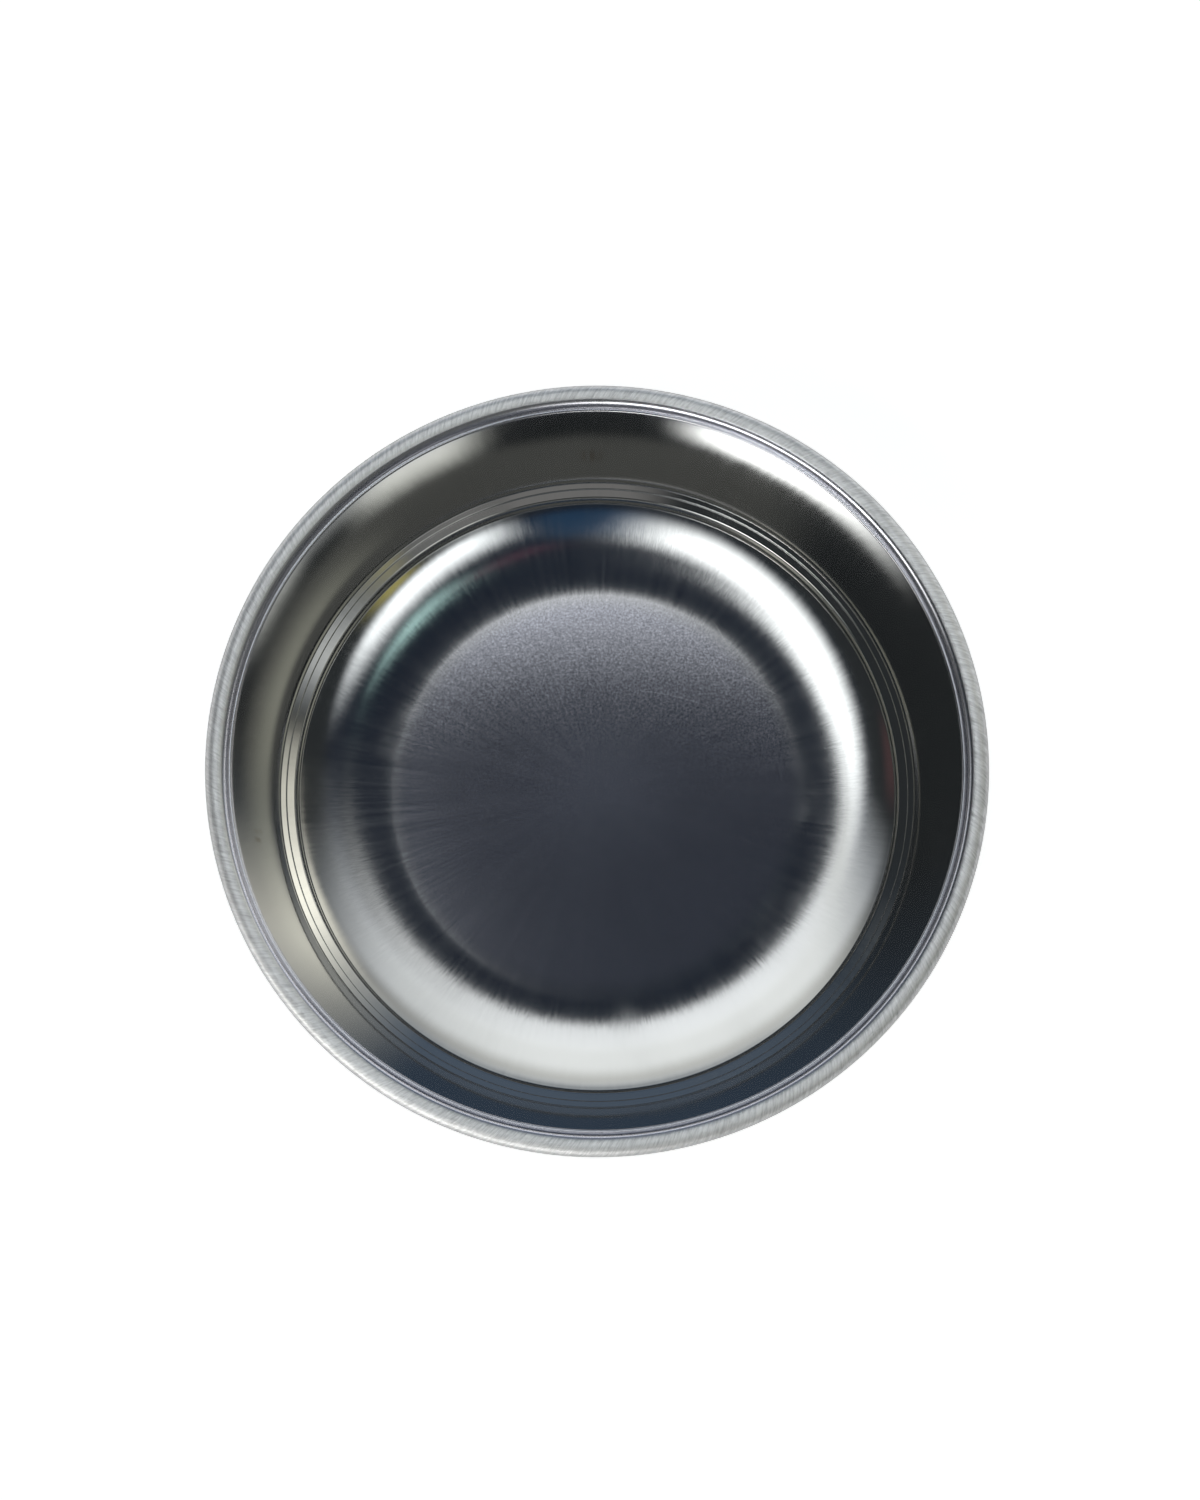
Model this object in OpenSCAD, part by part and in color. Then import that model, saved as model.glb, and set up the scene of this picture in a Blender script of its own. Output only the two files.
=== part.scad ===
// Pet bowl drawn from one sheet of stainless steel, with a rubber ring pushed over its stepped foot.
// Both pieces are turned shapes around +Z. The origin is the middle of the ring's sole, on the floor.
// Lengths are in millimetres.

/* [Rim] */
// Outer radius of the rolled rim, the widest part of the bowl
rim_r = 110; // [80:1:170]
// Radius of the roll that the sheet's edge is curled into
roll_r = 3.2; // [2.4:0.1:5]
// Width of the flat neck between the wall's top bend and the crease
neck_flat = 0.1; // [0.05:0.05:3]
// Radius of the crease where the neck turns up into the roll
crease_r = 0.3; // [0.2:0.1:1]

/* [Wall] */
// Height of the tapered wall, from the upper step to the neck
wall_h = 41.6; // [25:0.1:80]
// How much the wall narrows over that height
wall_run = 7.6; // [3:0.1:20]
// How far the wall's middle is pressed out from a straight line, where its two halves meet
wall_belly = 0.4; // [0.2:0.1:3]
// How much the bend between the wall and the upper step is larger than the least ledge bend
wall_foot_round = 0.6; // [0.1:0.1:2]

/* [Steps in the foot] */
// Height of the upright step between the wall and the upper ledge
upper_step_h = 3.2; // [2.6:0.1:6]
// How much that step narrows over its height
upper_step_run = 0.1; // [0.1:0.1:1]
// Radius of the crease between that step and the upper ledge
upper_step_crease = 0.4; // [0.2:0.1:0.8]
// Width of the upper ledge
upper_ledge_w = 1.7; // [1.2:0.1:4]
// How much steeper the small step between the two ledges is than they are, in degrees
mid_step_turn = 30; // [15:1:45]
// Length of the flat between the two bends of that small step
mid_step_flat = 0.05; // [0.05:0.05:1]
// Radius of the crease between the lower ledge and that small step
mid_step_crease = 0.3; // [0.2:0.1:1]
// Width of the lower ledge
lower_ledge_w = 2.8; // [2:0.1:5]
// How steeply both ledges rise outward, in degrees
ledge_angle = 22; // [10:1:30]
// How much the bend at the lower ledge's inner edge is larger than the least ledge bend
lower_ledge_round = 0.8; // [0.1:0.1:1.2]
// Height of the step from the foot bend to the lower ledge
lower_step_h = 3.1; // [2.4:0.1:8]
// How much that step narrows over its height
lower_step_run = 0.3; // [0.1:0.1:1]

/* [Floor] */
// Radial width of the gentle slope that rises from the flat floor
dish_w = 13.9; // [10:0.1:24]
// Height of that slope
dish_h = 1.95; // [0.5:0.05:4]
// Radial width of the steeper slope between it and the foot bend
slope_w = 7.4; // [5:0.1:14]
// Height of that slope
slope_h = 2.55; // [1.5:0.05:6]
// Radius of the foot bend, where the slope turns up into the lower step
foot_bend = 0.5; // [0.3:0.1:1.2]

/* [Sheet] */
// Thickness of the steel sheet
sheet_t = 0.5; // [0.4:0.05:1]
// Radius of the tightest bends, on the side that is bent round the tool
tight_bend = 0.1; // [0.1:0.1:1]

/* [Rubber ring] */
// Gap between the ring and the steel that it is pushed over
ring_fit = 0.1; // [0.05:0.05:0.3]
// How far the ring reaches up along the upper step, from the upper ledge
ring_lip_h = 2; // [1:0.1:2.2]
// How far the ring's top edge stands out past the outer face of that step
ring_proud = 1.5; // [1:0.1:3]
// How much the ring's outer face narrows towards the floor
ring_run = 0.8; // [0.2:0.1:3]
// How far the ring reaches in under the foot, from the foot bend
ring_reach = 4; // [2:0.1:8]
// Clear height between the steel's underside and the floor
floor_gap = 0.9; // [0.6:0.1:5]
// Radius of the ring's top outer edge
ring_top_round = 0.5; // [0.3:0.1:0.7]
// Radius of the ring's outer edge at the floor
ring_sole_round = 2; // [1:0.1:3]
// Radius of the ring's inner edge at the floor
ring_inner_round = 0.8; // [0.4:0.1:1.5]

/* [Hidden] */

// Straight cuts that a full turn is drawn with, then those in a small bend, in a large one and in the roll
turn_cuts = 180;
bend_cuts = 8;
large_bend_cuts = 20;
roll_cuts = 42;
// Angle that the sheet's edge is curled through, from the crease over the top and in below
roll_angle = 315;
// Smallest radius of a bend that is drawn with the large bend's cuts
large_bend = 10;
// Share of the free length of each slope, and of half the wall, that their large bends take up
slope_bend_share = 0.98;
wall_bend_share = 0.85;
// Least radius, on the seen face, of a bend that turns away from the inside of the bowl
ledge_bend = sheet_t + ring_fit + tight_bend;
// Length of the small step between its two corners: its flat, and what the bends take up
mid_step_l = mid_step_flat + (mid_step_crease + ledge_bend) * tan(mid_step_turn / 2);
mid_step_angle = ledge_angle + mid_step_turn;
// Width of the neck between its two corners, made up in the same way
neck_turn = atan2(wall_h / 2, wall_run / 2 - wall_belly);
neck_w = neck_flat + crease_r + ledge_bend * tan(neck_turn / 2);

// Heights of the seen, inner face at each corner, added up from the floor
floor_z = floor_gap + sheet_t;
slope_z = floor_z + dish_h;
foot_z = slope_z + slope_h;
lower_ledge_z = foot_z + lower_step_h;
mid_step_z = lower_ledge_z + lower_ledge_w * tan(ledge_angle);
upper_ledge_z = mid_step_z + mid_step_l * sin(mid_step_angle);
upper_step_z = upper_ledge_z + upper_ledge_w * tan(ledge_angle);
wall_foot_z = upper_step_z + upper_step_h;
neck_z = wall_foot_z + wall_h;
roll_z = neck_z + crease_r;

// Radii of the same corners, taken off from the rim
crease_at_r = rim_r - 2 * roll_r;
neck_r = crease_at_r - neck_w;
wall_foot_r = neck_r - wall_run;
upper_step_r = wall_foot_r - upper_step_run;
upper_ledge_r = upper_step_r - upper_ledge_w;
mid_step_r = upper_ledge_r - mid_step_l * cos(mid_step_angle);
lower_ledge_r = mid_step_r - lower_ledge_w;
foot_r = lower_ledge_r - lower_step_run;
slope_r = foot_r - slope_w;
dish_r = slope_r - dish_w;

// Radii of the large bends. Those of the two slopes meet halfway along the gentle one, and the
// steep one's is smaller where the foot bend leaves it less room.
dish_turn = atan2(dish_h, dish_w);
slope_turn = atan2(slope_h, slope_w) - dish_turn;
foot_turn = atan2(lower_step_h, lower_step_run) - dish_turn - slope_turn;
half_dish = norm([dish_w, dish_h]) / 2;
slope_free = norm([slope_w, slope_h]) - foot_bend * tan(abs(foot_turn) / 2);
dish_bend = slope_bend_share * half_dish / tan(dish_turn / 2);
slope_bend = slope_bend_share * min(half_dish, slope_free) / tan(abs(slope_turn) / 2);
half_wall = norm([wall_run, wall_h]) / 2;
belly_bend = wall_bend_share * half_wall * half_wall / wall_belly;

// Corners of the seen face from the middle of the floor to the roll, each as radius, height and bend
corners = [
    [0, floor_z, 0],
    [dish_r, floor_z, dish_bend],
    [slope_r, slope_z, slope_bend],
    [foot_r, foot_z, foot_bend],
    [lower_ledge_r, lower_ledge_z, ledge_bend + lower_ledge_round],
    [mid_step_r, mid_step_z, mid_step_crease],
    [upper_ledge_r, upper_ledge_z, ledge_bend],
    [upper_step_r, upper_step_z, upper_step_crease],
    [wall_foot_r, wall_foot_z, ledge_bend + wall_foot_round],
    [(wall_foot_r + neck_r) / 2 + wall_belly, (wall_foot_z + neck_z) / 2, belly_bend],
    [neck_r, neck_z, ledge_bend],
    [crease_at_r, neck_z, crease_r],
    [crease_at_r, roll_z + roll_r, 0]
];
// Places in that list of the foot bend and of the foot of the upper step
foot_corner = 3;
upper_step_corner = 7;

// Direction from one point to another, as an angle up from the outward radius
function heading(a, b) = atan2(b[1] - a[1], b[0] - a[0]);

// Angle turned at b on the way from a to c, positive towards the inside of the bowl
function turn_at(a, b, c) =
    let (change = heading(b, c) - heading(a, b))
    change > 180 ? change - 360 : change < -180 ? change + 360 : change;

// Points of the round bend at corner b, on the face that lies this depth behind the seen one.
// Each point stands on the bend's circle and is moved back, square to the sheet, by the depth.
function bend_points(a, b, c, depth) =
    let (
        in_angle = heading(a, b),
        turn = turn_at(a, b, c),
        reach = b[2] * tan(abs(turn) / 2),
        start = [b[0] - reach * cos(in_angle), b[1] - reach * sin(in_angle)],
        cuts = b[2] > large_bend ? large_bend_cuts : bend_cuts
    )
    [
        for (i = [0 : cuts])
            let (angle = in_angle + turn * i / cuts)
            start
                + sign(turn) * b[2] * [sin(angle) - sin(in_angle), cos(in_angle) - cos(angle)]
                + depth * [sin(angle), -cos(angle)]
    ];

// Points of the bends from one corner of the list to another, this depth behind the seen face
function sheet_points(first, last, depth) = [
    for (k = [first : last])
        each bend_points(corners[k - 1], corners[k], corners[k + 1], depth)
];

// Points round the roll, from the crease over the top, down the outside and in below
function roll_points(depth) = [
    for (i = [1 : roll_cuts])
        let (angle = 180 - roll_angle * i / roll_cuts)
        [rim_r - roll_r, roll_z] + (roll_r - depth) * [cos(angle), sin(angle)]
];

// One whole face of the sheet, from the middle of the floor to the curled edge
function whole_face(depth) = concat(
    [[0, floor_z - depth]],
    sheet_points(1, len(corners) - 2, depth),
    roll_points(depth)
);

// The same points from the last to the first
function backwards(points) = [for (i = [len(points) - 1 : -1 : 0]) points[i]];

// Place on the back of the slope where the ring leaves the steel: along the line from corner a
// to corner b, at radius r, this depth behind the seen face
function behind_at_radius(a, b, r, depth) =
    let (angle = heading(a, b))
    [r, a[1] + ((r - a[0]) * sin(angle) - depth) / cos(angle)];

// The same on the back of the upper step, at height z
function behind_at_height(a, b, z, depth) =
    let (angle = heading(a, b))
    [a[0] + ((z - a[1]) * cos(angle) + depth) / sin(angle), z];

module bowl() {
    color([0.72, 0.73, 0.74])
    rotate_extrude($fn = turn_cuts)
    polygon(concat(whole_face(0), backwards(whole_face(sheet_t))));
}

module foot_ring() {
    depth = sheet_t + ring_fit;
    inner_r = foot_r - ring_reach;
    top_r = wall_foot_r + sheet_t + ring_proud;
    top_z = upper_step_z + ring_lip_h;
    before_foot = corners[foot_corner - 1];
    foot = corners[foot_corner];
    step_foot = corners[upper_step_corner];
    step_top = corners[upper_step_corner + 1];
    // The ring's own corners, with the radius of each outer edge
    inner_top = behind_at_radius(before_foot, foot, inner_r, depth);
    lip = behind_at_height(step_foot, step_top, top_z, depth);
    outer_top = [top_r, top_z, ring_top_round];
    outer_sole = [top_r - ring_run, 0, ring_sole_round];
    inner_sole = [inner_r, 0, ring_inner_round];
    color([0.08, 0.08, 0.085])
    rotate_extrude($fn = turn_cuts)
    polygon(concat(
        [inner_top],
        sheet_points(foot_corner, upper_step_corner, depth),
        [lip],
        bend_points(lip, outer_top, outer_sole, 0),
        bend_points(outer_top, outer_sole, inner_sole, 0),
        bend_points(outer_sole, inner_sole, inner_top, 0)
    ));
}

bowl();
foot_ring();
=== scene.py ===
import math

import bpy
import numpy as np
from mathutils import Matrix, Vector


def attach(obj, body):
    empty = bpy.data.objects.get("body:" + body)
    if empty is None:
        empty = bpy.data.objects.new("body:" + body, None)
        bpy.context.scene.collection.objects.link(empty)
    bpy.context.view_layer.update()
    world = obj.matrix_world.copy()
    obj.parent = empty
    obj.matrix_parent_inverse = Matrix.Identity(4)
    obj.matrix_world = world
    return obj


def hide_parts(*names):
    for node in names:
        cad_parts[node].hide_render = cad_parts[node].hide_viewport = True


# A stainless pet bowl on its rubber ring, both dressed as turned surfaces.
# Lengths are in metres, angles in degrees unless a name says otherwise.

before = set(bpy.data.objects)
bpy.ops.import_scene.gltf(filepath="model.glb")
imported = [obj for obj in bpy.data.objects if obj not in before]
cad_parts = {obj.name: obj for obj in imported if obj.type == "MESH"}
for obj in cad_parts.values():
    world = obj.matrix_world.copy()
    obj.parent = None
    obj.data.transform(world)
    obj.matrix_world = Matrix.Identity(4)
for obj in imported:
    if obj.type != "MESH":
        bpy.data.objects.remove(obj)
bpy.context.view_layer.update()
print("frame loaded:", ", ".join(sorted(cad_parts)))


# Camera

cameraView = {
    "distance": 0.660,        # from the middle of the rim's plane
    "elevation": 79.5,        # above level
    "focalPixels": 2351.0,    # focal length, in pixels of the photograph
    "photoWidth": 1200.0,
    "photoMiddle": (600.0, 750.0),
    "rimMiddle": (597.0, 759.8),   # where the middle of the rim's plane lies in the photograph
    "sensor": 36.0,           # width in millimetres
    "nearest": 0.01,          # nothing closer to the camera is drawn
}


def placeCamera(view, target):
    # The camera stands back from the target along the tilted line of sight, and is turned a
    # little so that the target falls on its own pixel and not on the picture's middle.
    raised = math.radians(view["elevation"])
    ahead = Vector((0, math.cos(raised), -math.sin(raised)))
    above = Vector((0, math.sin(raised), math.cos(raised)))
    right = Vector((1, 0, 0))
    eye = target - ahead * view["distance"]
    shiftX = (view["photoMiddle"][0] - view["rimMiddle"][0]) / view["focalPixels"]
    shiftY = (view["photoMiddle"][1] - view["rimMiddle"][1]) / view["focalPixels"]
    look = (ahead + right * shiftX - above * shiftY).normalized()
    side = look.cross(Vector((0, 0, 1))).normalized()
    camera = bpy.data.objects.new("camera", bpy.data.cameras.new("camera"))
    bpy.context.scene.collection.objects.link(camera)
    turn = Matrix((side, side.cross(look), -look)).transposed().to_4x4()
    turn.translation = eye
    camera.matrix_world = turn
    camera.data.sensor_fit = "HORIZONTAL"
    camera.data.sensor_width = view["sensor"]
    camera.data.lens = view["focalPixels"] / view["photoWidth"] * view["sensor"]
    camera.data.clip_start = view["nearest"]
    bpy.context.scene.camera = camera


# The sheet's section: corners with bend radii, as the bowl is drawn on paper

bowlSize = {
    "rimRadius": 0.110,
    "rollRadius": 0.0032,
    "rollAngle": 315.0,      # how far the edge is curled
    "rollRows": 56,          # rows of points round the roll
    "neckFlat": 0.0001,
    "crease": 0.0003,
    "wallHeight": 0.0416,
    "wallRun": 0.0076,
    "wallBelly": 0.0004,
    "bellyShare": 0.85,      # share of the wall that the belly's bend takes up
    "wallFootBend": 0.0013,
    "upperStep": 0.0032,
    "upperStepRun": 0.0001,
    "upperStepCrease": 0.0004,
    "upperLedge": 0.0017,
    "midStepTurn": 30.0,     # how much steeper the small step is than the ledges beside it
    "midStepFlat": 0.00005,
    "midStepCrease": 0.0003,
    "lowerLedge": 0.0028,
    "ledgeAngle": 22.0,
    "lowerLedgeBend": 0.0015,
    "lowerStep": 0.0031,
    "lowerStepRun": 0.0003,
    "dishWidth": 0.0139,
    "dishHeight": 0.00195,
    "slopeWidth": 0.0074,
    "slopeHeight": 0.00255,
    "dishShare": 0.98,       # share of the free length that the bends of the dish take up
    "footBend": 0.0005,
    "sheet": 0.0005,
    "ledgeBend": 0.0007,
    "floorGap": 0.0009,
    "around": 224,           # faces in a full turn
    "stretch": 0.0022,       # longest straight stretch between two rows of points
}


def sheetCorners(s):
    # Radii are taken off from the rim, and heights are added up from the floor. Each corner is
    # its radius, its height and the radius of its bend.
    neckTurn = math.atan2(s["wallHeight"] / 2, s["wallRun"] / 2 - s["wallBelly"])
    neck = s["neckFlat"] + s["crease"] + s["ledgeBend"] * math.tan(neckTurn / 2)
    ledgeSlope = math.tan(math.radians(s["ledgeAngle"]))
    midTurn = math.radians(s["midStepTurn"])
    midAngle = math.radians(s["ledgeAngle"]) + midTurn
    midStep = s["midStepFlat"] + (s["midStepCrease"] + s["ledgeBend"]) * math.tan(midTurn / 2)
    creaseR = s["rimRadius"] - 2 * s["rollRadius"]
    neckR = creaseR - neck
    wallR = neckR - s["wallRun"]
    stepR = wallR - s["upperStepRun"]
    upperR = stepR - s["upperLedge"]
    midR = upperR - midStep * math.cos(midAngle)
    lowerR = midR - s["lowerLedge"]
    footR = lowerR - s["lowerStepRun"]
    slopeR = footR - s["slopeWidth"]
    dishR = slopeR - s["dishWidth"]
    floorZ = s["floorGap"] + s["sheet"]
    slopeZ = floorZ + s["dishHeight"]
    footZ = slopeZ + s["slopeHeight"]
    lowerZ = footZ + s["lowerStep"]
    midZ = lowerZ + s["lowerLedge"] * ledgeSlope
    upperZ = midZ + midStep * math.sin(midAngle)
    stepZ = upperZ + s["upperLedge"] * ledgeSlope
    wallZ = stepZ + s["upperStep"]
    neckZ = wallZ + s["wallHeight"]
    rollZ = neckZ + s["crease"]
    # The bends of the two slopes meet halfway along the gentle one, the belly takes most of the wall.
    dishTurn = math.atan2(s["dishHeight"], s["dishWidth"])
    slopeTurn = math.atan2(s["slopeHeight"], s["slopeWidth"]) - dishTurn
    footTurn = math.atan2(s["lowerStep"], s["lowerStepRun"]) - dishTurn - slopeTurn
    halfDish = math.hypot(s["dishWidth"], s["dishHeight"]) / 2
    slopeFree = math.hypot(s["slopeWidth"], s["slopeHeight"]) - s["footBend"] * math.tan(footTurn / 2)
    dishBend = s["dishShare"] * halfDish / math.tan(dishTurn / 2)
    slopeBend = s["dishShare"] * min(halfDish, slopeFree) / math.tan(slopeTurn / 2)
    halfWall = math.hypot(s["wallRun"], s["wallHeight"]) / 2
    bellyBend = s["bellyShare"] * halfWall * halfWall / s["wallBelly"]
    corners = [
        (0, floorZ, 0),
        (dishR, floorZ, dishBend),
        (slopeR, slopeZ, slopeBend),
        (footR, footZ, s["footBend"]),
        (lowerR, lowerZ, s["lowerLedgeBend"]),
        (midR, midZ, s["midStepCrease"]),
        (upperR, upperZ, s["ledgeBend"]),
        (stepR, stepZ, s["upperStepCrease"]),
        (wallR, wallZ, s["wallFootBend"]),
        ((wallR + neckR) / 2 + s["wallBelly"], (wallZ + neckZ) / 2, bellyBend),
        (neckR, neckZ, s["ledgeBend"]),
        (creaseR, neckZ, s["crease"]),
        (creaseR, rollZ + s["rollRadius"], 0),
    ]
    return corners, rollZ


leastCuts = 6       # faces round even the tightest bend


def bendRows(before, corner, after, step):
    # A round bend: it leaves the incoming line where the bend's circle touches it and turns
    # evenly. Each row is radius, height and the heading of the sheet there, in radians.
    heading = math.atan2(corner[1] - before[1], corner[0] - before[0])
    change = math.atan2(after[1] - corner[1], after[0] - corner[0]) - heading
    change = (change + math.pi) % (2 * math.pi) - math.pi
    reach = corner[2] * math.tan(abs(change) / 2)
    cuts = max(leastCuts, round(abs(change) * corner[2] / step))
    angle = heading + change * np.linspace(0, 1, cuts + 1)
    side = math.copysign(corner[2], change)
    return np.stack([
        corner[0] - reach * math.cos(heading) + side * (np.sin(angle) - math.sin(heading)),
        corner[1] - reach * math.sin(heading) + side * (math.cos(heading) - np.cos(angle)),
        angle,
    ], axis=1)


def fillStraights(rows, longest):
    # Rows are added along each straight stretch, at even shares of the way, so that none is
    # longer than the longest allowed.
    gaps = np.hypot(*np.diff(rows[:, :2], axis=0).T)
    counts = np.maximum(1, np.ceil(gaps / longest)).astype(int)
    place = np.repeat(np.arange(len(gaps)), counts)
    first = np.concatenate([[0], np.cumsum(counts)[:-1]])
    share = (np.arange(counts.sum()) - first[place]) / counts[place]
    filled = rows[place] + (rows[place + 1] - rows[place]) * share[:, None]
    return np.vstack([filled, rows[-1:]])


def sheetRows(s):
    # The sheet's upper face from the floor's middle to the curled edge: every corner's bend in
    # turn, then the roll from the crease over the top, down the outside and in below.
    corners, rollZ = sheetCorners(s)
    parts = [np.array([[0, corners[0][1], 0]])]
    for k in range(1, len(corners) - 1):
        parts.append(bendRows(corners[k - 1], corners[k], corners[k + 1], s["stretch"] / 2))
    angle = np.radians(180 - s["rollAngle"] * np.linspace(0, 1, s["rollRows"] + 1)[1:])
    parts.append(np.stack([
        s["rimRadius"] - s["rollRadius"] + s["rollRadius"] * np.cos(angle),
        rollZ + s["rollRadius"] * np.sin(angle),
        angle - math.pi / 2,
    ], axis=1))
    return fillStraights(np.vstack(parts), s["stretch"]), rollZ


# Turned surfaces

nearAxis = 1e-9     # a row of points this close to the axis is one point


def turnedMesh(name, section, normals, around, attributes):
    # A section carried round the Z axis: point (i, j) stands at the section's radius i, turned
    # by j parts of a full turn. The section is a closed loop, or it starts and ends on the axis.
    count = len(section)
    turn = np.linspace(0, 2 * np.pi, around, endpoint=False)
    onAxis = section[:, 0] < nearAxis
    radius = section[:, 0][:, None]
    points = np.stack([
        radius * np.cos(turn), radius * np.sin(turn), np.repeat(section[:, 1][:, None], around, 1),
    ], axis=-1)
    i = np.arange(count)[:, None]
    j = np.arange(around)[None, :]
    iNext = (i + 1) % count
    jNext = (j + 1) % around
    # The faces beside a row on the axis are triangles.
    index = np.where(onAxis[:, None], i * around, i * around + j)
    quads = np.stack([index[i, j], index[i, jNext], index[iNext, jNext], index[iNext, j]], axis=-1)
    keep = ~(onAxis[:, None] & onAxis[iNext[:, 0]][:, None])
    quads = quads[np.broadcast_to(keep, quads.shape[:2])]
    repeated = quads == np.roll(quads, -1, axis=1)
    corners = np.where(repeated.any(axis=1), 3, 4)
    starts = np.concatenate([[0], np.cumsum(corners)[:-1]])
    used, loops = np.unique(quads[~repeated], return_inverse=True)
    mesh = bpy.data.meshes.new(name)
    mesh.vertices.add(len(used))
    mesh.vertices.foreach_set("co", points.reshape(-1, 3)[used].astype(np.float32).ravel())
    mesh.loops.add(len(loops))
    mesh.loops.foreach_set("vertex_index", loops.astype(np.int32))
    mesh.polygons.add(len(corners))
    mesh.polygons.foreach_set("loop_start", starts.astype(np.int32))
    mesh.polygons.foreach_set("use_smooth", np.ones(len(corners), dtype=bool))
    mesh.update(calc_edges=True)
    row = used // around
    for title, values in attributes.items():
        layer = mesh.attributes.new(title, "FLOAT", "POINT")
        layer.data.foreach_set("value", values[row].astype(np.float32))
    # The true normals of the turned section, so that long faces reflect as the round sheet does
    spin = turn[used % around]
    exact = np.stack([
        normals[row, 0] * np.cos(spin), normals[row, 0] * np.sin(spin), normals[row, 1],
    ], axis=-1)
    mesh.normals_split_custom_set_from_vertices(exact.tolist())
    mesh.validate()
    piece = bpy.data.objects.new(name, mesh)
    bpy.context.scene.collection.objects.link(piece)
    return piece


def makeBowl(s, f):
    # The seen face of the sheet, and its back one thickness away along the normals
    rows, rollZ = sheetRows(s)
    seen = rows[:, :2]
    up = np.stack([-np.sin(rows[:, 2]), np.cos(rows[:, 2])], axis=1)
    back = (seen - up * s["sheet"])[::-1]
    section = np.vstack([seen, back])
    normals = np.vstack([up, -up[::-1]])
    along = np.concatenate([[0], np.cumsum(np.hypot(*np.diff(section, axis=0).T))])
    inner = np.arange(len(section)) < len(seen)
    # Angle round the roll, measured from its outermost line over the top
    rollR = s["rimRadius"] - s["rollRadius"]
    rollAngle = np.degrees(np.arctan2(section[:, 1] - rollZ, section[:, 0] - rollR))
    onRoll = section[:, 0] > rollR - s["rollRadius"] + 0.5 * s["crease"]
    brushed = np.where(onRoll, np.clip((f["brushedFrom"] - rollAngle) / f["brushedFade"], 0, 1), 0)
    brushed = np.where(inner, brushed, 1)
    return turnedMesh("bowl_steel", section[::-1], normals[::-1], s["around"], {
        "along": along[::-1],
        "brushed": brushed[::-1],
        "inside": inner[::-1].astype(float),
    })


# The rubber ring

ringSize = {
    "fit": 0.0001,           # gap to the steel
    "lip": 0.002,            # up along the upper step
    "proud": 0.0015,         # past that step's outer face
    "run": 0.0008,           # narrowing towards the floor
    "reach": 0.004,          # in under the foot
    "topRound": 0.0005,
    "soleRound": 0.002,
    "innerRound": 0.0008,
    "edge": 0.00015,         # rounding of the two edges that touch the steel
    "footCorner": 3,         # which of the sheet's corners is the foot
    "stepCorner": 7,         # and which the foot of the upper step
    "around": 256,
    "stretch": 0.0015,
}


def makeRing(s, r):
    # The ring follows the steel's back from under the foot to the upper step.
    corners = sheetCorners(s)[0]
    depth = s["sheet"] + r["fit"]
    foot = r["footCorner"]
    step = r["stepCorner"]
    innerR = corners[foot][0] - r["reach"]
    topR = corners[step + 1][0] + s["sheet"] + r["proud"]
    topZ = corners[step][1] + r["lip"]
    slope = math.atan2(corners[foot][1] - corners[foot - 1][1], corners[foot][0] - corners[foot - 1][0])
    steep = math.atan2(corners[step + 1][1] - corners[step][1], corners[step + 1][0] - corners[step][0])
    innerDrop = ((corners[foot][0] - innerR) * math.sin(slope) + depth) / math.cos(slope)
    innerTop = (innerR, corners[foot][1] - innerDrop, r["edge"])
    underSlope = (innerR + math.cos(slope), innerTop[1] + math.sin(slope))
    lipR = corners[step][0] + (r["lip"] * math.cos(steep) + depth) / math.sin(steep)
    belowLip = (lipR - math.cos(steep), topZ - math.sin(steep))
    edges = [
        belowLip,
        (lipR, topZ, r["edge"]),
        (topR, topZ, r["topRound"]),
        (topR - r["run"], 0, r["soleRound"]),
        (innerR, 0, r["innerRound"]),
        innerTop,
        underSlope,
    ]
    parts = []
    for k in range(foot, step + 1):
        rows = bendRows(corners[k - 1], corners[k], corners[k + 1], r["stretch"] / 2)
        rows[:, 0] += depth * np.sin(rows[:, 2])
        rows[:, 1] -= depth * np.cos(rows[:, 2])
        parts.append(rows)
    for k in range(1, len(edges) - 1):
        parts.append(bendRows(edges[k - 1], edges[k], edges[k + 1], r["stretch"] / 4))
    # The loop is closed with its own first row, so that headings and long stretches run on.
    rows = np.vstack(parts + [parts[0][:1]])
    rows[:, 2] = np.unwrap(rows[:, 2])
    rows = fillStraights(rows, r["stretch"])[:-1]
    normals = np.stack([-np.sin(rows[:, 2]), np.cos(rows[:, 2])], axis=1)
    return turnedMesh("foot_ring_rubber", rows[::-1, :2], normals[::-1], r["around"], {})


# Shader nodes

def newMaterial(name):
    material = bpy.data.materials.new(name)
    material.use_nodes = True
    tree = material.node_tree
    return material, tree, tree.nodes["Principled BSDF"]


def addNode(tree, kind, settings=None):
    made = tree.nodes.new(kind)
    for name, value in (settings or {}).items():
        setattr(made, name, value)
    return made


def feed(tree, socket, value):
    # A socket takes either another socket's output or a plain value.
    if isinstance(value, bpy.types.NodeSocket):
        tree.links.new(value, socket)
    else:
        socket.default_value = value


def mathNode(tree, operation, *values):
    made = addNode(tree, "ShaderNodeMath", {"operation": operation})
    for socket, value in zip(made.inputs, values):
        feed(tree, socket, value)
    return made.outputs[0]


def product(tree, first, *others):
    # All the values multiplied together
    for value in others:
        first = mathNode(tree, "MULTIPLY", first, value)
    return first


def plus(tree, base, share, amount):
    # base + share * amount
    return mathNode(tree, "ADD", base, product(tree, share, amount))


def blend(tree, share, first, second):
    # first where the share is 0, second where it is 1
    return plus(tree, first, share, mathNode(tree, "SUBTRACT", second, first))


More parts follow.
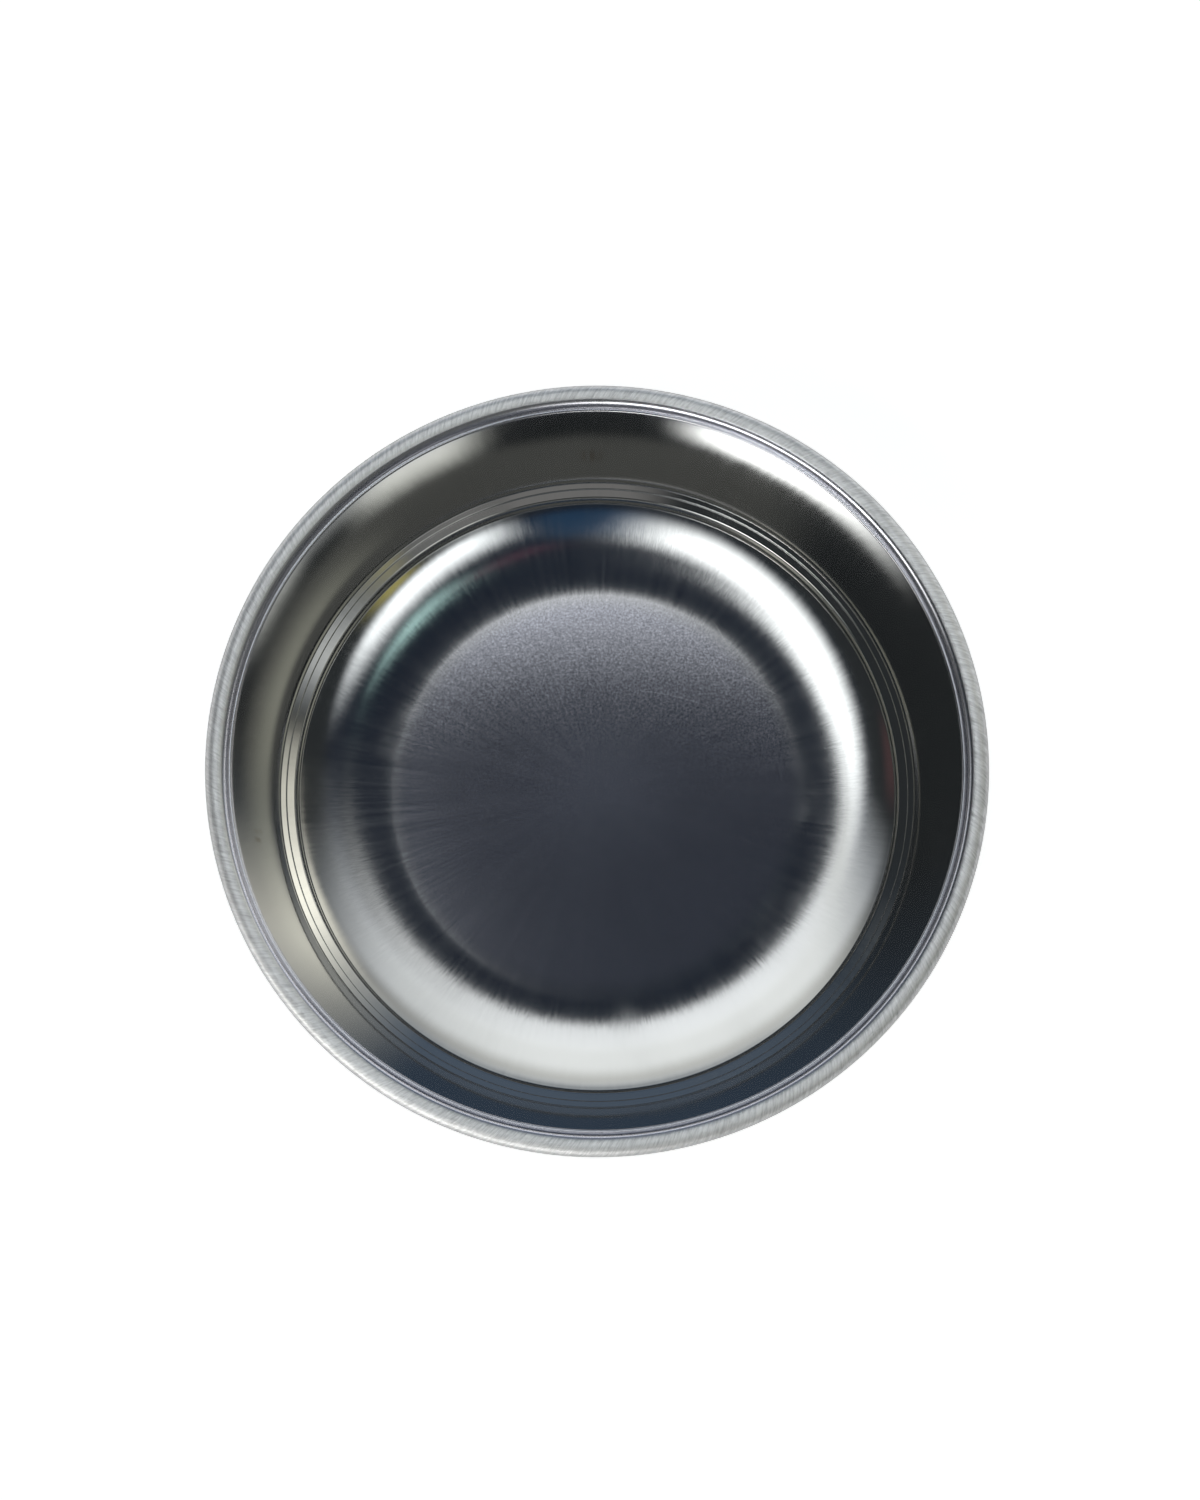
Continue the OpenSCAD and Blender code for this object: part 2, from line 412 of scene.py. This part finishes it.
def rampNode(tree, value, low, high, atLow=0.0, atHigh=1.0):
    # Smooth step: atLow up to low, atHigh from high on, an even curve between
    made = addNode(tree, "ShaderNodeMapRange", {"interpolation_type": "SMOOTHSTEP"})
    feed(tree, made.inputs["Value"], value)
    made.inputs["From Min"].default_value = low
    made.inputs["From Max"].default_value = high
    made.inputs["To Min"].default_value = atLow
    made.inputs["To Max"].default_value = atHigh
    return made.outputs["Result"]


def bandShare(tree, value, limits):
    # 0 below the first limit, 1 between the middle two and 0 above the last
    rising = rampNode(tree, value, limits[0], limits[1])
    return product(tree, rising, rampNode(tree, value, limits[2], limits[3], 1.0, 0.0))


def vectorNode(tree, operation, first, second):
    made = addNode(tree, "ShaderNodeVectorMath", {"operation": operation})
    feed(tree, made.inputs[0], first)
    feed(tree, made.inputs["Scale" if operation == "SCALE" else 1], second)
    return made.outputs["Value" if operation in ("LENGTH", "DISTANCE") else "Vector"]


def joined(tree, x, y, z):
    made = addNode(tree, "ShaderNodeCombineXYZ")
    for socket, value in zip(made.inputs, (x, y, z)):
        feed(tree, socket, value)
    return made.outputs[0]


def tinted(tree, share, first, second):
    # As blend, for colours
    made = addNode(tree, "ShaderNodeMix", {"data_type": "RGBA"})
    feed(tree, made.inputs["Factor"], share)
    for socket, colour in (("A", first), ("B", second)):
        plain = isinstance(colour, tuple)
        feed(tree, made.inputs[socket], colour + (1,) if plain else colour)
    return made.outputs["Result"]


def noiseNode(tree, vector, scale, detail, roughness):
    made = addNode(tree, "ShaderNodeTexNoise")
    feed(tree, made.inputs["Vector"], vector)
    made.inputs["Scale"].default_value = scale
    made.inputs["Detail"].default_value = detail
    made.inputs["Roughness"].default_value = roughness
    return made


def offMiddle(tree, noise):
    # How far the noise lies above or below its middle
    return mathNode(tree, "SUBTRACT", noise.outputs["Fac"], 0.5)


def drawnOut(tree, direction, along, share):
    # The place on a tube round the axis: where it lies round the bowl, and a share of its way
    # along the section. The smaller the share, the longer the marks that a noise draws there.
    return vectorNode(tree, "ADD", direction, joined(tree, 0.0, 0.0, product(tree, along, share)))


def spotShare(tree, place, spots, core):
    # 1 in the core of any of the spots, 0 from its edge on
    share = 0.0
    for middle, size in spots:
        off = vectorNode(tree, "DISTANCE", place, middle)
        share = mathNode(tree, "MAXIMUM", share, rampNode(tree, off, size * core, size, 1.0, 0.0))
    return share


def pushNormal(tree, shader, layers):
    # Each layer pushes the surface's normal by as much of its amount as its noise's colour lies
    # away from middle grey. What comes of it is made one long again.
    normal = addNode(tree, "ShaderNodeNewGeometry").outputs["Normal"]
    for noise, amount in layers:
        away = vectorNode(tree, "SUBTRACT", noise.outputs["Color"], (0.5, 0.5, 0.5))
        normal = vectorNode(tree, "ADD", normal, vectorNode(tree, "SCALE", away, amount))
    settled = addNode(tree, "ShaderNodeVectorMath", {"operation": "NORMALIZE"})
    feed(tree, settled.inputs[0], normal)
    feed(tree, shader.inputs["Normal"], settled.outputs[0])


# The bowl's steel

bowlFinish = {
    "steel": (0.66, 0.655, 0.645),
    # the rim's brushed band: its own finish, and partly painted light, its colour raised above the
    # steel's
    "brushedSteelPaintedLighter": (0.90, 0.90, 0.90),
    "paintedEdgeShade": 0.50,         # painted shade: the share of its colour that the rim keeps where it turns down outside
    "edgeZone": (0.1080, 0.1099),
    "discSteel": (0.60, 0.60, 0.66),
    "rolledSteel": (0.67, 0.67, 0.72),
    "discMetal": 0.90,         # the rest of the disc's light is scattered widely by its etched grain
    "rolled": 0.22,            # roughness of the roll's inner side, down to the crease
    "rolledFrom": 0.1022,      # radius at which it starts
    "rolledWidth": 0.0009,
    "brushedFrom": 124.0,      # degrees round the roll, from its outermost line
    "brushedFade": 8.0,        # degrees in which it sets in
    "polished": 0.07,          # roughness of the mirror-like wall and dish
    "brushed": 0.50,           # of the rim's outer band
    "outside": 0.36,           # of the wall's outer face and the underside
    "matte": 0.090,            # of the flat disc in the middle of the floor
    "matteRadius": 0.0605,
    "matteEdge": 0.009,
    "rimRadius": 0.1068,       # where the rim's scratches are laid out
    # Layers of fine marks: how far they tilt the surface, how many to the metre, and the detail
    # and roughness of their noise
    "discGrain": (0.022, 1400.0, 2.0, 0.6),
    "polishGrain": (0.0010, 1800.0, 2.0, 0.55),
    "rimScratch": (0.42, 1500.0, 3.0, 0.65),
    "outsideLine": (0.10, 1600.0, 2.0, 0.6),
    "streak": (0.020, 220.0, 2.0, 0.6),     # radial marks of the press, to the radian
    "wipe": (0.007, 70.0, 3.0, 0.6),        # wiping marks, to the radian
    "smudge": (0.05, 28.0, 3.0, 0.55),      # the first is added roughness, not tilt
    "middleShade": 1.25,       # how much lighter the disc is in its middle
    "middleRadius": 0.035,
    "grainShade": 1.2,         # how much darker and lighter the disc's grain is
    "rimLean": 0.6,            # turned by this much for each length across, 1 is 45 degrees
    "rimDraw": 0.20,           # how short the scratches are
    "rimShade": 1.00,          # how much darker and lighter the rim's scratches are
    "crossShare": 1 / 3,       # how much of the scratches' depth those that cross them have
    "streakDraw": 1.6,         # how short the streaks are
    "streakRough": 0.03,       # how much rougher they leave the steel
    "streakZone": (0.057, 0.063, 0.080, 0.089),
    "wipeDraw": 0.35,          # how short the wiping marks are
    "wipeRough": 0.06,         # how much rougher and smoother they leave the steel
    "lineTurn": 0.01,          # how much the outer face's lines change on their way round
    "lineShade": 0.35,         # how much darker and lighter they are
    "pits": (0.15, 1600.0),    # sparkling pits of the etched floor, tilt and number to the metre
    "pitShare": (0.86, 0.87),  # share of the places that have none
    "pitSize": (0.10, 0.30),
    "pitZone": (0.044, 0.058, 0.063, 0.074),
    "pitsElsewhere": 0.5,      # how deep they are on the rest of the disc
    "smudgeFrom": (0.52, 0.72),    # where the noise is this high, the smudge sets in
    "cloudFrom": (0.35, 0.75),     # and the steel gets a little darker
    "cloudShade": 0.93,
    # Dust specks on the floor and wall: place and radius
    "specks": [
        ((0.0578, -0.0140, 0.0015), 0.00045),
        ((0.0642, 0.0178, 0.0019), 0.00035),
        ((0.0652, 0.0108, 0.0019), 0.00030),
        ((-0.0045, -0.0100, 0.0014), 0.00025),
    ],
    "speckCore": 0.6,          # share of the radius that is fully covered
    "speckColour": (0.9, 0.9, 0.88),
    # Brown water stains on the wall: place and radius
    "stains": [
        ((-0.0010, 0.0979, 0.0288), 0.0060),
        ((-0.0975, -0.0189, 0.0370), 0.0045),
        ((-0.0982, -0.0150, 0.0330), 0.0030),
    ],
    "stainCore": 0.1,
    "stainColour": (0.30, 0.22, 0.14),
    "stainShare": 0.5,         # how much of the steel's colour it takes
    "stainRough": 0.10,
    "stainBreaks": (0.40, 0.62),   # the wiping noise between which a stain breaks off
    # Curved scratches on the floor: middle of the arc, radius, half width, first and last angle
    "scratches": [
        ((-0.014, 0.020), 0.060, 0.00006, 17, 36),
        ((-0.023, 0.0015), 0.070, 0.00005, 22, 44),
        ((0.001, -0.054), 0.100, 0.00005, 54, 82),
        ((0.005, -0.048), 0.080, 0.00004, 67, 88),
    ],
    "scratchFade": 6,          # degrees at either end
    "scratchRough": 0.12,
}


def steelZones(tree, f):
    # Coordinates of the marks, and the shares of the surface that each finish takes, 0 to 1
    zone = {"place": addNode(tree, "ShaderNodeTexCoord").outputs["Object"]}
    for name in ("along", "brushed", "inside"):
        zone[name] = addNode(tree, "ShaderNodeAttribute", {"attribute_name": name}).outputs["Fac"]
    parts = addNode(tree, "ShaderNodeSeparateXYZ")
    feed(tree, parts.inputs[0], zone["place"])
    x, y = parts.outputs[:2]
    radius = vectorNode(tree, "LENGTH", joined(tree, x, y, 0.0), (0, 0, 0))
    aside = mathNode(tree, "MAXIMUM", radius, 0.001)     # never divided by nothing
    zone["x"] = x
    zone["y"] = y
    zone["radius"] = radius
    outwardX = mathNode(tree, "DIVIDE", x, aside)
    outwardY = mathNode(tree, "DIVIDE", y, aside)
    zone["outward"] = joined(tree, outwardX, outwardY, 0.0)
    zone["outside"] = mathNode(tree, "SUBTRACT", 1.0, zone["inside"])
    zone["rim"] = product(tree, zone["brushed"], zone["inside"])
    edge = f["matteEdge"] / 2
    disc = rampNode(tree, radius, f["matteRadius"] - edge, f["matteRadius"] + edge, 1.0, 0.0)
    zone["disc"] = product(tree, zone["inside"], disc)
    polish = mathNode(tree, "SUBTRACT", 1.0, zone["brushed"])
    polish = mathNode(tree, "SUBTRACT", polish, zone["disc"])
    zone["polish"] = mathNode(tree, "MAXIMUM", polish, 0.0)
    rolled = rampNode(tree, radius, f["rolledFrom"], f["rolledFrom"] + f["rolledWidth"])
    zone["rolled"] = product(tree, rolled, zone["inside"])
    zone["streaked"] = bandShare(tree, radius, f["streakZone"])
    return zone


def steelNoises(tree, f, zone):
    noise = {
        "disc": noiseNode(tree, zone["place"], *f["discGrain"][1:]),
        "polish": noiseNode(tree, zone["place"], *f["polishGrain"][1:]),
        "smudge": noiseNode(tree, zone["place"], *f["smudge"][1:]),
    }
    # Wiping marks and streaks run from the middle outward.
    for name in ("wipe", "streak"):
        drawn = drawnOut(tree, zone["outward"], zone["along"], f[name + "Draw"])
        noise[name] = noiseNode(tree, drawn, *f[name][1:])
    # Lines of the outer face run round the bowl.
    turnX = product(tree, zone["x"], f["lineTurn"])
    turnY = product(tree, zone["y"], f["lineTurn"])
    noise["line"] = noiseNode(tree, joined(tree, turnX, turnY, zone["along"]), *f["outsideLine"][1:])
    # Scratches of the rim run aslant: the ring is wound round by its own length along the
    # section before the noise is laid on it, one way for the scratches, the other for those
    # that cross them.
    scale, detail, roughness = f["rimScratch"][1:]
    wound = mathNode(tree, "DIVIDE", zone["along"], f["rimRadius"])
    for name, hand in (("scratch", 1.0), ("cross", -1.0)):
        turned = addNode(tree, "ShaderNodeVectorRotate", {"rotation_type": "Z_AXIS"})
        feed(tree, turned.inputs["Vector"], zone["outward"])
        feed(tree, turned.inputs["Angle"], product(tree, wound, hand * f["rimLean"]))
        drawn = drawnOut(tree, turned.outputs[0], wound, f["rimDraw"])
        noise[name] = noiseNode(tree, drawn, scale * f["rimRadius"], detail, roughness)
    return noise


def steelPits(tree, f, zone):
    # Some of a pattern's cells, told by the cell's own colour, hold a pit in their middle.
    pits = addNode(tree, "ShaderNodeTexVoronoi")
    feed(tree, pits.inputs["Vector"], zone["place"])
    pits.inputs["Scale"].default_value = f["pits"][1]
    kind = addNode(tree, "ShaderNodeSeparateColor")
    feed(tree, kind.inputs[0], pits.outputs["Color"])
    pitted = rampNode(tree, pits.outputs["Distance"], *f["pitSize"], 1.0, 0.0)
    chosen = rampNode(tree, kind.outputs[2], *f["pitShare"])
    onDisc = product(tree, zone["disc"], f["pitsElsewhere"])
    where = mathNode(tree, "MAXIMUM", bandShare(tree, zone["radius"], f["pitZone"]), onDisc)
    return pits, product(tree, pitted, chosen, zone["inside"], where)


def scratchShare(tree, f, zone):
    # 1 on the arcs, less beside them and towards their ends
    share = 0.0
    for middle, arc, half, first, last in f["scratches"]:
        toX = mathNode(tree, "SUBTRACT", zone["x"], middle[0])
        toY = mathNode(tree, "SUBTRACT", zone["y"], middle[1])
        reach = vectorNode(tree, "LENGTH", joined(tree, toX, toY, 0.0), (0, 0, 0))
        off = mathNode(tree, "ABSOLUTE", mathNode(tree, "SUBTRACT", reach, arc))
        bearing = mathNode(tree, "DEGREES", mathNode(tree, "ARCTAN2", toY, toX))
        bearing = mathNode(tree, "WRAP", bearing, 360.0, 0.0)
        ends = (first, first + f["scratchFade"], last - f["scratchFade"], last)
        line = rampNode(tree, off, 0.0, half * 2, 1.0, 0.0)
        line = product(tree, line, bandShare(tree, bearing, ends), zone["inside"])
        share = mathNode(tree, "MAXIMUM", share, line)
    return share


def steelMaterial(f):
    material, tree, shader = newMaterial("drawn_steel")
    zone = steelZones(tree, f)
    noise = steelNoises(tree, f, zone)
    pits, pitted = steelPits(tree, f, zone)
    pushNormal(tree, shader, [
        (noise["disc"], product(tree, zone["disc"], f["discGrain"][0])),
        (noise["polish"], product(tree, zone["polish"], f["polishGrain"][0])),
        (noise["wipe"], product(tree, zone["polish"], f["wipe"][0])),
        (noise["streak"], product(tree, zone["streaked"], f["streak"][0])),
        (pits, product(tree, pitted, f["pits"][0])),
        (noise["scratch"], product(tree, zone["rim"], f["rimScratch"][0])),
        (noise["cross"], product(tree, zone["rim"], f["rimScratch"][0] * f["crossShare"])),
        (noise["line"], product(tree, zone["outside"], f["outsideLine"][0])),
    ])

    broken = rampNode(tree, noise["wipe"].outputs["Fac"], *f["stainBreaks"])
    stained = spotShare(tree, zone["place"], f["stains"], f["stainCore"])
    stained = product(tree, stained, broken, zone["inside"])
    smudged = rampNode(tree, noise["smudge"].outputs["Fac"], *f["smudgeFrom"], 0.0, f["smudge"][0])
    rough = blend(tree, zone["disc"], f["polished"], f["matte"])
    rough = plus(tree, rough, zone["streaked"], f["streakRough"])
    rough = blend(tree, zone["rolled"], rough, f["rolled"])
    rough = blend(tree, zone["rim"], rough, f["brushed"])
    rough = blend(tree, zone["outside"], rough, f["outside"])
    rough = plus(tree, rough, smudged, zone["polish"])
    rough = plus(tree, rough, offMiddle(tree, noise["wipe"]), f["wipeRough"])
    rough = plus(tree, rough, scratchShare(tree, f, zone), f["scratchRough"])
    rough = plus(tree, rough, stained, f["stainRough"])
    feed(tree, shader.inputs["Roughness"], rough)
    feed(tree, shader.inputs["Metallic"], blend(tree, zone["disc"], 1.0, f["discMetal"]))

    metal = tinted(tree, zone["rolled"], f["steel"], f["rolledSteel"])
    # the brushed rim is made lighter than the other steel, partly as painted light
    metal = tinted(tree, zone["rim"], metal, f["brushedSteelPaintedLighter"])
    metal = tinted(tree, zone["disc"], metal, f["discSteel"])
    metal = tinted(tree, product(tree, stained, f["stainShare"]), metal, f["stainColour"])
    # The rim's edge gets a painted shade where it turns down outside, the disc is lighter in its middle
    # and a little darker in clouds, and fine marks make the metal darker and lighter where they lie, as
    # far as tilt alone can't.
    shades = [
        # painted shade on the rim where it turns down outside
        rampNode(tree, zone["radius"], *f["edgeZone"], 1.0, f["paintedEdgeShade"]),
        rampNode(tree, zone["radius"], 0.0, f["middleRadius"], f["middleShade"], 1.0),
        rampNode(tree, noise["smudge"].outputs["Fac"], *f["cloudFrom"], 1.0, f["cloudShade"]),
    ]
    for mark, strength, where in (
        ("scratch", "rimShade", "rim"),
        ("disc", "grainShade", "disc"),
        ("line", "lineShade", "outside"),
    ):
        change = product(tree, offMiddle(tree, noise[mark]), f[strength])
        shades.append(plus(tree, 1.0, change, zone[where]))
    metal = vectorNode(tree, "SCALE", metal, product(tree, *shades))
    dust = spotShare(tree, zone["place"], f["specks"], f["speckCore"])
    feed(tree, shader.inputs["Base Color"], tinted(tree, dust, metal, f["speckColour"]))
    return material


# The ring's rubber

rubberFinish = {
    "colour": (0.016, 0.016, 0.018),
    "roughness": 0.62,
    "grain": (0.09, 1400.0, 3.0, 0.6),
    "bloom": (60.0, 4.0, 0.6),     # pale patches to the metre, as rubber gets with age
    "bloomPale": (0.4, 0.8, 1.9),  # the noise between which it gets paler, and by how much
    "bloomRough": (0.3, 0.8, 0.15),    # the same for what it adds to the roughness
}


def rubberMaterial(f):
    material, tree, shader = newMaterial("moulded_rubber")
    place = addNode(tree, "ShaderNodeTexCoord").outputs["Object"]
    pushNormal(tree, shader, [(noiseNode(tree, place, *f["grain"][1:]), f["grain"][0])])
    bloom = noiseNode(tree, place, *f["bloom"]).outputs["Fac"]
    low, high, paler = f["bloomPale"]
    shade = rampNode(tree, bloom, low, high, 1.0, paler)
    feed(tree, shader.inputs["Base Color"], vectorNode(tree, "SCALE", f["colour"], shade))
    low, high, rougher = f["bloomRough"]
    rough = rampNode(tree, bloom, low, high, f["roughness"], f["roughness"] + rougher)
    feed(tree, shader.inputs["Roughness"], rough)
    return material


# Studio

studio = {
    "floorHalf": 3.0,
    "floorDrop": 0.0002,     # how far the floor lies under the ring's sole
    "floorColour": (0.86, 0.86, 0.86, 1),
    "floorRoughness": 0.9,
    "floorGlow": 0.70,       # for the camera and mirrors alone
    # Soft boxes as the bowl sees them. Azimuth runs clockwise from +X as seen from above, so 90 is
    # the camera's side. Polar is the angle down from straight up. Sides and edges are the widths
    # in which a box's light fades out, at its azimuths and at its polar angles.
    "boxes": [
        # soft box to the left of the camera, its end behind the bowl
        {"azimuth": (113, 222), "sides": (44, 38), "polar": (7, 18), "edges": (8.5, 9),
         "light": 2.4, "tint": (0.97, 1.01, 1.02)},
        # soft box to the right of the camera, and the paler end of it
        {"azimuth": (3, 58), "sides": (38, 24), "polar": (14.5, 21.5), "edges": (9, 4.5),
         "light": 2.2, "tint": (0.96, 1.01, 1.03)},
        {"azimuth": (-24, 10), "sides": (20, 40), "polar": (7, 10.5), "edges": (4, 3.5),
         "light": 0.85, "tint": (0.75, 1.15, 1.1)},
        # white backdrop behind the table, brighter at its left and towards the top
        {"azimuth": (226, 300), "sides": (25, 60), "polar": (13.9, 40.5), "edges": (4, 5),
         "light": 0.68, "tint": (1, 1.02, 0.98)},
        {"azimuth": (212, 320), "sides": (18, 38), "polar": (19, 34), "edges": (9, 8),
         "light": 0.45, "tint": (0.94, 1, 1.06)},
        {"azimuth": (237, 289), "sides": (14, 52), "polar": (14.2, 20), "edges": (4, 11),
         "light": 0.52, "tint": (0.93, 0.99, 1.09)},
        # lamps of the room
        {"azimuth": (114, 144), "sides": (22, 44), "polar": (37, 43.5), "edges": (3, 7),
         "light": 7.0, "tint": (0.98, 1.01, 1.01)},
        {"azimuth": (2, 61), "sides": (13, 14), "polar": (31, 42), "edges": (5.5, 5),
         "light": 0.38, "tint": (0.97, 1.01, 1.02)},
        {"azimuth": (8, 22), "sides": (10, 10), "polar": (33, 44), "edges": (5, 7),
         "light": 0.45, "tint": (1, 1.03, 0.97)},
        {"azimuth": (40, 64), "sides": (14, 14), "polar": (34, 46), "edges": (5, 8),
         "light": 1.05, "tint": (1, 1.03, 0.97)},
        # pale walls of the room, cream at the left
        {"azimuth": (311, 332), "sides": (32, 28), "polar": (37, 70), "edges": (5, 15),
         "light": 0.80, "tint": (1.07, 1.04, 0.89)},
        {"azimuth": (316, 352), "sides": (20, 16), "polar": (34, 42), "edges": (4, 4),
         "light": 0.80, "tint": (1.06, 1.04, 0.90)},
        {"azimuth": (-44, 32), "sides": (15, 36), "polar": (54, 64), "edges": (16, 5),
         "light": 0.28, "tint": (1.05, 1.07, 0.88)},
        {"azimuth": (-17, 133), "sides": (50, 22), "polar": (47, 100), "edges": (6, 4),
         "light": 0.08, "tint": (1.03, 1.03, 0.94)},
        {"azimuth": (36, 106), "sides": (20, 16), "polar": (25.5, 29.5), "edges": (2, 3),
         "light": 0.18, "tint": (1.03, 1, 0.97)},
        # light that comes in low, on the rim and the outer wall
        {"azimuth": (88, 160), "sides": (30, 30), "polar": (77, 130), "edges": (9, 4),
         "light": 4.8, "tint": (1, 1, 0.98)},
        {"azimuth": (190, 345), "sides": (30, 20), "polar": (80, 130), "edges": (9, 4),
         "light": 1.1, "tint": (0.98, 1, 1.02)},
        # dark blue of the far wall, and the dim room all round
        {"azimuth": (231, 337), "sides": (60, 42), "polar": (38, 100), "edges": (4, 4),
         "light": 0.045, "tint": (0.45, 0.9, 1.7)},
        {"azimuth": (236, 304), "sides": (30, 30), "polar": (62, 78), "edges": (10, 6),
         "light": 0.07, "tint": (0.9, 1, 1.1)},
        {"azimuth": (236, 304), "sides": (30, 30), "polar": (42, 48), "edges": (3, 4),
         "light": 0.05, "tint": (0.85, 1, 1.15)},
        {"azimuth": (70, 106), "sides": (20, 20), "polar": (8, 20), "edges": (7, 5),
         "light": 0.045, "tint": (0.25, 0.85, 1.8)},
        {"azimuth": (-200, 200), "sides": (4, 4), "polar": (22, 130), "edges": (6, 4),
         "light": 0.015, "tint": (1.3, 1.2, 0.5)},
        # coloured things in the room
        {"azimuth": (23, 36), "sides": (12, 10), "polar": (23, 30), "edges": (2, 2),
         "light": 0.28, "tint": (1.4, 1.25, 0.35)},
        {"azimuth": (0, 60), "sides": (20, 20), "polar": (4, 7), "edges": (3, 3),
         "light": 0.035, "tint": (1.8, 0.5, 0.7)},
        {"azimuth": (186, 200), "sides": (10, 10), "polar": (29, 34), "edges": (4, 3),
         "light": 0.03, "tint": (1.8, 0.6, 0.6)},
    ],
    "ambient": (0.009, 0.015, 0.028),
}


def softLimits(low, high, widths):
    # The four limits of a band whose two ends are as soft as the widths say
    first, last = widths[0] / 2, widths[1] / 2
    return low - first, low + first, high - last, high + last


def boxLight(tree, azimuth, polar, box):
    # Lit where the direction lies between the box's azimuths and polar angles, with soft edges.
    # The azimuth is measured from the box's middle, so that a box may lie across +X.
    first, last = box["azimuth"]
    half = (last - first) / 2
    away = mathNode(tree, "WRAP", mathNode(tree, "SUBTRACT", azimuth, first + half), 180.0, -180.0)
    acrossShare = bandShare(tree, away, softLimits(-half, half, box["sides"]))
    downShare = bandShare(tree, polar, softLimits(*box["polar"], box["edges"]))
    glow = [part * box["light"] for part in box["tint"]]
    return vectorNode(tree, "SCALE", glow, product(tree, acrossShare, downShare))


def makeWorld(s):
    world = bpy.data.worlds.new("studio")
    bpy.context.scene.world = world
    world.use_nodes = True
    tree = world.node_tree
    parts = addNode(tree, "ShaderNodeSeparateXYZ")
    feed(tree, parts.inputs[0], addNode(tree, "ShaderNodeTexCoord").outputs["Generated"])
    back = product(tree, parts.outputs[1], -1.0)
    azimuth = mathNode(tree, "DEGREES", mathNode(tree, "ARCTAN2", back, parts.outputs[0]))
    polar = mathNode(tree, "DEGREES", mathNode(tree, "ARCCOSINE", parts.outputs[2]))
    total = s["ambient"]
    for box in s["boxes"]:
        total = vectorNode(tree, "ADD", boxLight(tree, azimuth, polar, box), total)
    # The camera itself sees plain white behind the floor's edge.
    mix = addNode(tree, "ShaderNodeMix", {"data_type": "RGBA"})
    feed(tree, mix.inputs["Factor"], addNode(tree, "ShaderNodeLightPath").outputs["Is Camera Ray"])
    feed(tree, mix.inputs["A"], total)
    feed(tree, mix.inputs["B"], (1, 1, 1, 1))
    feed(tree, tree.nodes["Background"].inputs["Color"], mix.outputs["Result"])


def makeFloor(s):
    half = s["floorHalf"]
    below = -s["floorDrop"]
    mesh = bpy.data.meshes.new("floor")
    around = [(-half, -half, below), (half, -half, below), (half, half, below), (-half, half, below)]
    mesh.from_pydata(around, [], [(0, 1, 2, 3)])
    floor = bpy.data.objects.new("floor", mesh)
    bpy.context.scene.collection.objects.link(floor)
    material, tree, shader = newMaterial("pale_floor")
    shader.inputs["Base Color"].default_value = s["floorColour"]
    shader.inputs["Roughness"].default_value = s["floorRoughness"]
    shader.inputs["Specular IOR Level"].default_value = 0.0
    shader.inputs["Emission Color"].default_value = (1, 1, 1, 1)
    rays = addNode(tree, "ShaderNodeLightPath")
    seen = mathNode(tree, "MAXIMUM", rays.outputs["Is Camera Ray"], rays.outputs["Is Glossy Ray"])
    feed(tree, shader.inputs["Emission Strength"], product(tree, seen, s["floorGlow"]))
    mesh.materials.append(material)


bpy.context.scene.view_settings.view_transform = "Standard"
rollHeight = sheetCorners(bowlSize)[1]
placeCamera(cameraView, Vector((0, 0, rollHeight)))
makeWorld(studio)
makeFloor(studio)
print("camera, studio and floor are set")

bowl = makeBowl(bowlSize, bowlFinish)
bowl.data.materials.append(steelMaterial(bowlFinish))
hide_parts("bowl")
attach(bowl, "root")
print("bowl made:", len(bowl.data.polygons), "faces")

ring = makeRing(bowlSize, ringSize)
ring.data.materials.append(rubberMaterial(rubberFinish))
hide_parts("foot_ring")
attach(ring, "root")
print("rubber ring made:", len(ring.data.polygons), "faces")
